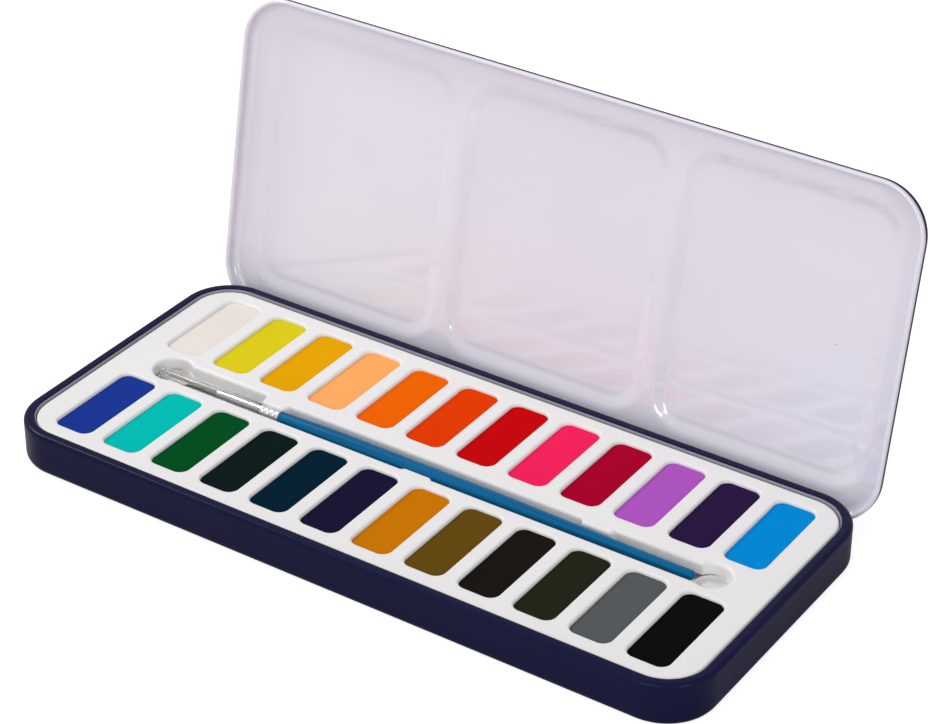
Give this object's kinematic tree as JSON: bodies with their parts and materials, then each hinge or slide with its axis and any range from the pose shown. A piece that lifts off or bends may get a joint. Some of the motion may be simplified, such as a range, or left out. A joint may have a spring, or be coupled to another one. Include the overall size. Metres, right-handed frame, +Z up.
{
  "type": "watercolor paint tin",
  "caption": "Flat hinged metal tin with rounded corners, a moulded tray of watercolour cakes in two rows, a capped brush in a centre channel, and a lid with shallow mixing dishes",
  "frame": {"origin": "centre of the flat underside of the base tin, on the surface it stands on", "axes": "+X along the long side from the first cake to the last, +Y towards the hinge, +Z up"},
  "size_m": [0.23, 0.1259, 0.1038],
  "materials": {
    "tin_navy": "deep navy gloss enamel outside, gloss white inside the lid",
    "hinge_steel": "plain steel",
    "tray_plastic": "off-white moulded plastic, satin",
    "paint_cream_white": "pressed watercolour cake, satin with fine specks",
    "paint_lemon": "pressed watercolour cake, satin with fine specks",
    "paint_golden_yellow": "pressed watercolour cake, satin with fine specks",
    "paint_peach": "pressed watercolour cake, satin with fine specks",
    "paint_orange": "pressed watercolour cake, satin with fine specks",
    "paint_vermilion": "pressed watercolour cake, satin with fine specks",
    "paint_red": "pressed watercolour cake, satin with fine specks",
    "paint_rose_pink": "pressed watercolour cake, satin with fine specks",
    "paint_crimson": "pressed watercolour cake, satin with fine specks",
    "paint_lilac": "pressed watercolour cake, satin with fine specks",
    "paint_dark_purple": "pressed watercolour cake, satin with fine specks",
    "paint_sky_blue": "pressed watercolour cake, satin with fine specks",
    "paint_ultramarine": "pressed watercolour cake, satin with fine specks",
    "paint_turquoise": "pressed watercolour cake, satin with fine specks",
    "paint_deep_green": "pressed watercolour cake, satin with fine specks",
    "paint_viridian_black": "pressed watercolour cake, satin with fine specks",
    "paint_prussian_blue": "pressed watercolour cake, satin with fine specks",
    "paint_indigo": "pressed watercolour cake, satin with fine specks",
    "paint_ochre": "pressed watercolour cake, satin with fine specks",
    "paint_olive_brown": "pressed watercolour cake, satin with fine specks",
    "paint_sepia": "pressed watercolour cake, satin with fine specks",
    "paint_dark_olive": "pressed watercolour cake, satin with fine specks",
    "paint_grey": "pressed watercolour cake, satin with fine specks",
    "paint_black": "pressed watercolour cake, satin with fine specks",
    "handle_lacquer": "blue lacquered wood",
    "ferrule_metal": "bright aluminium with crimp rings",
    "cap_clear": "thin clear plastic tube",
    "bristle": "soft synthetic hair"
  },
  "bodies": {
    "base": {"base_tin": "tin_navy", "hinge_bracket_left": "hinge_steel", "hinge_bracket_right": "hinge_steel", "hinge_pin_left": "hinge_steel", "hinge_pin_right": "hinge_steel"},
    "lid": {"lid_tin": "tin_navy", "hinge_tongue_left": "tin_navy", "hinge_tongue_right": "tin_navy"},
    "tray": {"paint_tray": "tray_plastic", "paint_cream_white": "paint_cream_white", "paint_lemon": "paint_lemon", "paint_golden_yellow": "paint_golden_yellow", "paint_peach": "paint_peach", "paint_orange": "paint_orange", "paint_vermilion": "paint_vermilion", "paint_red": "paint_red", "paint_rose_pink": "paint_rose_pink", "paint_crimson": "paint_crimson", "paint_lilac": "paint_lilac", "paint_dark_purple": "paint_dark_purple", "paint_sky_blue": "paint_sky_blue", "paint_ultramarine": "paint_ultramarine", "paint_turquoise": "paint_turquoise", "paint_deep_green": "paint_deep_green", "paint_viridian_black": "paint_viridian_black", "paint_prussian_blue": "paint_prussian_blue", "paint_indigo": "paint_indigo", "paint_ochre": "paint_ochre", "paint_olive_brown": "paint_olive_brown", "paint_sepia": "paint_sepia", "paint_dark_olive": "paint_dark_olive", "paint_grey": "paint_grey", "paint_black": "paint_black"},
    "brush": {"brush_handle": "handle_lacquer", "brush_ferrule": "ferrule_metal", "brush_cap": "cap_clear", "brush_bristles": "bristle"}
  },
  "joints": [
    {"name": "lid_hinge", "type": "hinge", "parent": "base", "child": "lid", "pos_m": [0, 0.0471, 0.00875], "axis": [1, 0, 0], "range_deg": [0, 101]},
    {"name": "tray_lift", "type": "slide", "parent": "base", "child": "tray", "axis": [0, 0, 1], "range_m": [0, 0.06]},
    {"name": "brush_lift", "type": "slide", "parent": "tray", "child": "brush", "axis": [0, 0, 1], "range_m": [0, 0.06]}
  ]
}
